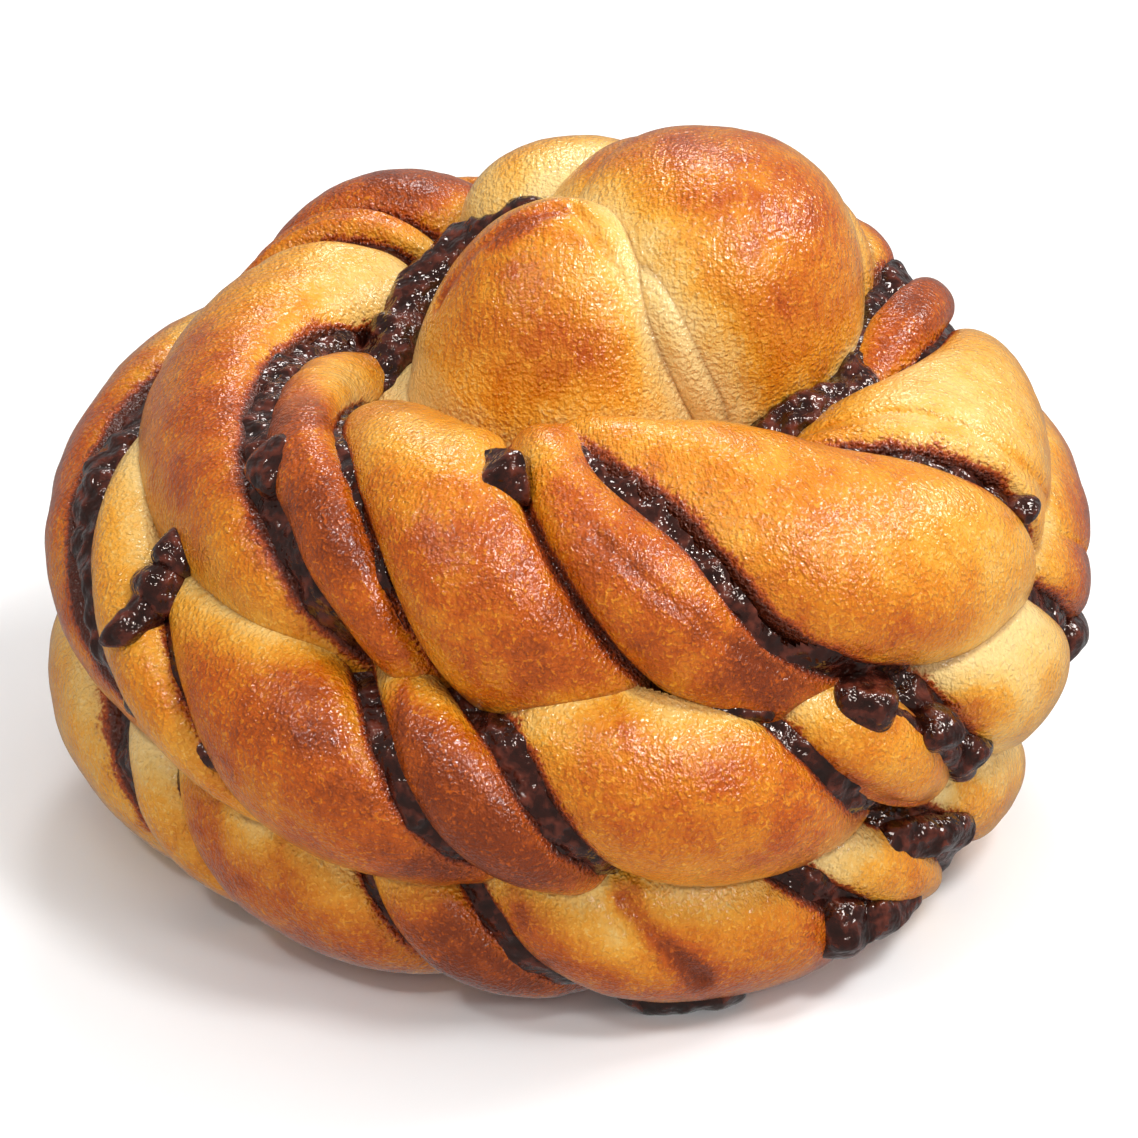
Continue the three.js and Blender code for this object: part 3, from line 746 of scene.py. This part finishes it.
def groove_line(number):
    """Angles of the path along a groove, and the degrees from the outer side at which it lies."""
    groove_angle = GROOVES[number, 0]
    phase = groove_phases()[number]
    step = CHOCOLATE_STEP / RIBBON_RADIUS / DEG
    angle = np.arange(groove_angle - RIBBON_REACH, groove_angle + RIBBON_REACH, step)
    inside = (angle > PATH[0, 0] + END_MARGIN) & (angle < PATH[-1, 0] - END_MARGIN)
    angle = angle[inside][:, None]
    section = section_at(angle)
    off = np.clip(phase - section["twist"], -FARTHEST_OFF, FARTHEST_OFF)
    for _ in range(SOLVER_STEPS):
        error = section["twist"] + off + section["lean"] * np.sin(off * DEG) / DEG - phase
        off = off - SOLVER_CARE * error / (1 + section["lean"] * np.cos(off * DEG))
    keep = groove_shown(off[:, 0]) > 0
    return angle[keep], off[keep]


def ribbon_patch(number):
    """Chocolate along one groove."""
    depth, gape, level = GROOVES[number, 2:]
    angle, off = groove_line(number)
    section = section_at(angle)
    half = gape + RIBBON_MARGIN
    across = np.linspace(-1, 1, int(2 * half / CHOCOLATE_STEP))[None, :]
    centre = section["outer"] + off
    bend = 1 + section["lean"] * np.cos(off * DEG)
    oval = 1 / np.hypot(np.cos(centre * DEG) / section["half_width"],
                        np.sin(centre * DEG) / section["half_height"])
    slope = oval * section["twist_rate"] / (bend * (section["radius"] + oval * np.cos(centre * DEG)))
    side = centre + across * half * np.hypot(1, slope) / (oval * DEG)
    open_share, swell = shoulder_at(section, side, off)
    shown = groove_shown(off) * open_share
    height = level * shown * (1 - RIBBON_CROWN * across**2)
    sunk = SHOULDER_SINK * (1 - open_share)
    reach = (oval + swell - depth * open_share + height - sunk) * section["taper"]
    plain = point_at(section, side, reach)
    reach = reach + lumps_of(plain, RIBBON_LUMPS[0] + RIBBON_LUMPS[1] * level * shown)
    points = point_at(section, side, reach)
    turns = [strand_gap(points, angle + turn) for turn in (-360, 0, 360)]
    crown = [ball_gap(points, ball) for ball in CROWN]
    return patch(points, {}, hidden=np.min(turns + crown, axis=0) < -BURIED, closed=False)


def curve_through(points, count):
    """Places, radii and directions along a smooth curve through a few points."""
    points = np.array(points, float)
    rows = np.column_stack([np.arange(len(points)), points])
    t = np.linspace(0, len(points) - 1, count)
    places = np.stack([smooth_at(rows, column + 1, t) for column in range(4)], axis=-1)
    forward = np.gradient(places[:, :3], axis=0)
    return places[:, :3], places[:, 3], forward / np.linalg.norm(forward, axis=1, keepdims=True)


def smear_patch(points):
    """A lumpy roll of chocolate with round ends."""
    length = sum(np.linalg.norm(np.subtract(a[:3], b[:3])) for a, b in zip(points, points[1:]))
    count = int(length / CHOCOLATE_STEP)
    places, radius, forward = curve_through(points, count)
    side = np.cross(forward, (0, 0, 1))
    side /= np.linalg.norm(side, axis=1, keepdims=True)
    up = np.cross(side, forward)
    columns = int(ROLL_GIRTH * radius.max() / CHOCOLATE_STEP)
    turn = np.linspace(0, 2 * np.pi, columns, endpoint=False)[None, :, None]
    ring = side[:, None] * np.cos(turn) + up[:, None] * np.sin(turn)
    along = np.linspace(0, length, count)
    end = np.clip(np.minimum(along, length - along) / radius, 0, 1)
    thick = radius * np.sqrt(1 - (1 - end) ** 2)
    plain = places[:, None] + ring * thick[:, None, None]
    lumps = lumps_of(plain, LUMPINESS * thick[:, None])
    return patch(plain + ring * lumps[..., None], {})


def chunk_patch(number, centre, radius, flat, squareness):
    """A melted chocolate chip, turned its own way."""
    rng = np.random.default_rng(FIRST_CHUNK_SEED + number)
    rows = int(np.pi * radius / CHOCOLATE_STEP)
    latitude = np.linspace(90, -90, rows)[:, None] * DEG
    longitude = np.linspace(0, 360, 2 * rows, endpoint=False)[None, :] * DEG
    ball = np.stack([
        np.cos(latitude) * np.cos(longitude),
        np.cos(latitude) * np.sin(longitude),
        np.sin(latitude) * np.ones_like(longitude),
    ], axis=-1)
    turned, _ = np.linalg.qr(rng.normal(size=(3, 3)))
    inside = np.abs(ball @ turned)
    form = (inside**squareness).sum(axis=-1) ** (-1 / squareness)
    plain = ball * form[..., None] * radius * np.array([1, 1, flat]) + np.array(centre)
    return patch(plain + ball * lumps_of(plain, CHUNK_LUMPINESS * radius)[..., None], {})


# ---- Materials -----------------------------------------------------------------------------

MIX_COLOUR_INPUTS = (0, 6, 7) # of a mix node: factor and the two colours
MIX_COLOUR_OUTPUT = 2
OBJECT_COORDINATES = 3 # output of a texture coordinate node


class Shader:
    """Short way to write a material's nodes."""

    def __init__(self, name):
        self.material = bpy.data.materials.new(name)
        self.material.use_nodes = True
        self.tree = self.material.node_tree
        self.surface = self.tree.nodes["Principled BSDF"]

    def put(self, socket, value):
        """Link a socket to another one's value, or set it."""
        if isinstance(value, bpy.types.NodeSocket):
            self.tree.links.new(value, socket)
        else:
            socket.default_value = value

    def node(self, kind, output=0, **inputs):
        made = self.tree.nodes.new("ShaderNode" + kind)
        for key, value in inputs.items():
            self.put(made.inputs[key.replace("_", " ")], value)
        return made.outputs[output]

    def attribute(self, name, output="Fac"):
        made = self.tree.nodes.new("ShaderNodeAttribute")
        made.attribute_name = name
        return made.outputs[output]

    def math(self, operation, *values):
        made = self.tree.nodes.new("ShaderNodeMath")
        made.operation = operation
        for socket, value in zip(made.inputs, values):
            self.put(socket, value)
        return made.outputs[0]

    def vary(self, value, noise, amount):
        """The value moved up and down by a noise round 0.5."""
        return self.math("ADD", value, self.math("MULTIPLY", self.math("SUBTRACT", noise, 0.5), amount))

    def between(self, value, low, high, to_low=0.0, to_high=1.0):
        """A soft step of the value, from one result at the low bound to another at the high."""
        made = self.tree.nodes.new("ShaderNodeMapRange")
        made.interpolation_type = "SMOOTHSTEP"
        for socket, v in zip(made.inputs, (value, low, high, to_low, to_high)):
            self.put(socket, v)
        return made.outputs[0]

    def ramp(self, value, stops):
        """Colour by the value, from stops with colours as on the screen, 0 to 255."""
        made = self.tree.nodes.new("ShaderNodeValToRGB")
        elements = made.color_ramp.elements
        while len(elements) < len(stops):
            elements.new(0.5)
        for element, (place, colour) in zip(elements, stops):
            element.position = place
            element.color = (*linear(colour), 1)
        self.put(made.inputs[0], value)
        return made.outputs[0]

    def mix(self, factor, first, second):
        """The first colour at factor 0, and the second at 1."""
        made = self.tree.nodes.new("ShaderNodeMix")
        made.data_type = "RGBA"
        for number, value in zip(MIX_COLOUR_INPUTS, (factor, first, second)):
            self.put(made.inputs[number], value)
        return made.outputs[MIX_COLOUR_OUTPUT]

    def set(self, **inputs):
        for key, value in inputs.items():
            self.put(self.surface.inputs[key.replace("_", " ")], value)


def linear(colour):
    """Display colour, 0 to 255, as the shader's own linear values."""
    c = np.array(colour) / 255
    return tuple(float(v) for v in np.where(c <= 0.04045, c / 12.92, ((c + 0.055) / 1.055) ** 2.4))


# Painted shade: the mid brown that the crust is darkened to where dough meets other dough.
CREASE_SHADE_COLOUR = (130, 66, 24)
# Heights of the finest relief, in metres. The glaze lies smoother than the crust under it.
CRUST_BUMP = 0.0005
GLAZE_BUMP = 0.0002
CHOCOLATE_BUMP = 0.0007


def crust_material():
    """Baked crust, from pale dough to brown, stained beside the chocolate, with an egg glaze, painted
    shade in the creases and pale flecks painted in as glints.
    """
    s = Shader("crust")
    grain = s.attribute("grain", "Vector")
    place = s.node("TexCoord", output=OBJECT_COORDINATES)
    squeeze = s.node("Mapping", Vector=grain, Scale=(2.3, 1.1, 1.1))
    wrinkle = s.node("TexNoise", Vector=squeeze, Scale=1.0, Detail=1.0, Roughness=0.6)
    pore = s.node("TexNoise", Vector=place, Scale=2300.0, Detail=1.0, Roughness=0.5)
    mottle = s.node("TexNoise", Vector=place, Scale=280.0, Detail=1.0, Roughness=0.6)

    bake = s.attribute("bake")
    for noise, amount in ((wrinkle, 0.25), (mottle, 0.35), (pore, 0.2)):
        bake = s.vary(bake, noise, amount)
    # Painted highlight: pale flecks where the fine pores stand highest lighten the crust, standing for
    # glints of the glaze.
    painted_glint_fleck = s.between(pore, 0.55, 0.7, 0.0, 0.2)
    bake = s.math("SUBTRACT", bake, painted_glint_fleck)
    colour = s.ramp(bake, [
        (0.0, (236, 201, 132)),
        (0.25, (231, 183, 98)),
        (0.45, (227, 156, 46)),
        (0.65, (207, 120, 14)),
        (0.82, (178, 78, 4)),
        (1.0, (122, 46, 4)),
    ])
    ragged = s.vary(s.vary(s.attribute("stain"), mottle, 0.5), pore, 0.5)
    stain = s.between(ragged, 0.1, 0.8)
    soaked = s.ramp(stain, [
        (0.0, (196, 92, 20)),
        (0.5, (164, 66, 14)),
        (0.8, (122, 44, 12)),
        (1.0, (84, 30, 12)),
    ])
    colour = s.mix(s.between(stain, 0.0, 0.4), colour, soaked)
    # Painted shade in the creases: within half a millimetre of other dough, the colour is mixed up to
    # halfway towards a mid brown.
    crease_shade = s.between(s.attribute("crease"), 0.0, 0.5, 0.5, 0.0)
    colour = s.mix(crease_shade, colour, (*linear(CREASE_SHADE_COLOUR), 1))

    # The pores stand out more where the chocolate has soaked in.
    pores = s.math("MULTIPLY", pore, s.math("ADD", 0.8, stain))
    height = s.math("ADD", s.math("MULTIPLY", wrinkle, 0.5), pores)
    normal = s.node("Bump", Strength=1.0, Distance=CRUST_BUMP, Height=height)
    glaze = s.node("Bump", Strength=1.0, Distance=GLAZE_BUMP, Height=height)
    s.set(
        Base_Color=colour,
        Roughness=s.between(bake, 0.15, 0.55, 0.55, 0.3),
        Normal=normal,
        Specular_IOR_Level=0.2,
        Specular_Tint=(1, 0.8, 0.6, 1),
        Coat_Weight=0.9,
        Coat_Roughness=0.12,
        Coat_Normal=glaze,
    )
    return s.material


def chocolate_material():
    """Dark melted chocolate with bits in it."""
    s = Shader("chocolate")
    place = s.node("TexCoord", output=OBJECT_COORDINATES)
    lump = s.node("TexNoise", Vector=place, Scale=650.0, Detail=2.0, Roughness=0.5)
    colour = s.ramp(lump, [
        (0.3, (26, 7, 4)),
        (0.5, (48, 17, 11)),
        (0.75, (104, 46, 32)),
    ])
    normal = s.node("Bump", Strength=1.0, Distance=CHOCOLATE_BUMP, Height=lump)
    s.set(
        Base_Color=colour,
        Roughness=s.between(lump, 0.35, 0.65, 0.12, 0.25),
        Normal=normal,
        Specular_IOR_Level=0.3,
        Specular_Tint=(1, 0.7, 0.55, 1),
        Coat_Weight=0.7,
        Coat_Roughness=0.04,
        Coat_Normal=normal,
    )
    return s.material


def floor_material():
    """Plain, pale and matt."""
    s = Shader("pale_floor")
    s.set(Base_Color=(0.88, 0.88, 0.88, 1), Roughness=0.6)
    return s.material


# ---- Stage, light and camera ---------------------------------------------------------------

def make_floor():
    bpy.ops.mesh.primitive_plane_add(size=6)
    floor = bpy.context.object
    floor.name = "floor"
    floor.data.materials.append(floor_material())
    floor.visible_glossy = False # a bright floor would veil the browned sides


def make_lamp(name, place, size, power, mirrored):
    light = bpy.data.lights.new(name, "AREA")
    light.size = size
    light.energy = power
    lamp = bpy.data.objects.new(name, light)
    lamp.location = place
    lamp.visible_glossy = mirrored
    lamp.rotation_euler = (Vector(LAMP_TARGET) - Vector(place)).to_track_quat("-Z", "Y").to_euler()
    bpy.context.collection.objects.link(lamp)


def make_light():
    world = bpy.data.worlds.new("studio")
    world.use_nodes = True
    background = world.node_tree.nodes["Background"]
    background.inputs["Color"].default_value = (1, 1, 1, 1)
    background.inputs["Strength"].default_value = WORLD_STRENGTH
    bpy.context.scene.world = world
    bpy.context.scene.view_settings.view_transform = "Standard"
    for lamp in LAMPS:
        make_lamp(*lamp)


def make_camera():
    elevation = CAMERA_ELEVATION * DEG
    target = np.array(CAMERA_TARGET) + np.array(OFFSET)
    place = target + CAMERA_DISTANCE * np.array([0, -np.cos(elevation), np.sin(elevation)])
    data = bpy.data.cameras.new("camera")
    data.sensor_width = SENSOR_WIDTH
    data.lens = SENSOR_WIDTH * CAMERA_DISTANCE / FRAME_WIDTH
    data.clip_start = 0.01
    camera = bpy.data.objects.new("camera", data)
    camera.location = Vector(place * MM)
    camera.rotation_euler = Vector((target - place) * MM).to_track_quat("-Z", "Y").to_euler()
    bpy.context.collection.objects.link(camera)
    bpy.context.scene.camera = camera


# ---- The bun -------------------------------------------------------------------------------

def main():
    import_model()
    crust = crust_material()
    chocolate = chocolate_material()
    for name, (start, end) in PIECES.items():
        mesh_piece(name, [strand_patch(start, end)], crust, "dough")
    balls = CROWN + [CORE]
    lobes = [ball_patch(ball, [b for b in balls if b is not ball]) for ball in balls]
    mesh_piece("dough_crown", lobes, crust, "dough")
    filled = np.flatnonzero(GROOVES[:, 4] >= LEAST_LEVEL)
    ribbons = [ribbon_patch(number) for number in filled]
    mesh_piece("chocolate_grooves", ribbons, chocolate, "filling")
    blobs = [smear_patch(smear) for smear in SMEARS]
    blobs += [chunk_patch(i, *chunk) for i, chunk in enumerate(CHUNKS)]
    mesh_piece("chocolate_chunks", blobs, chocolate, "filling")
    make_floor()
    make_light()
    make_camera()


main()
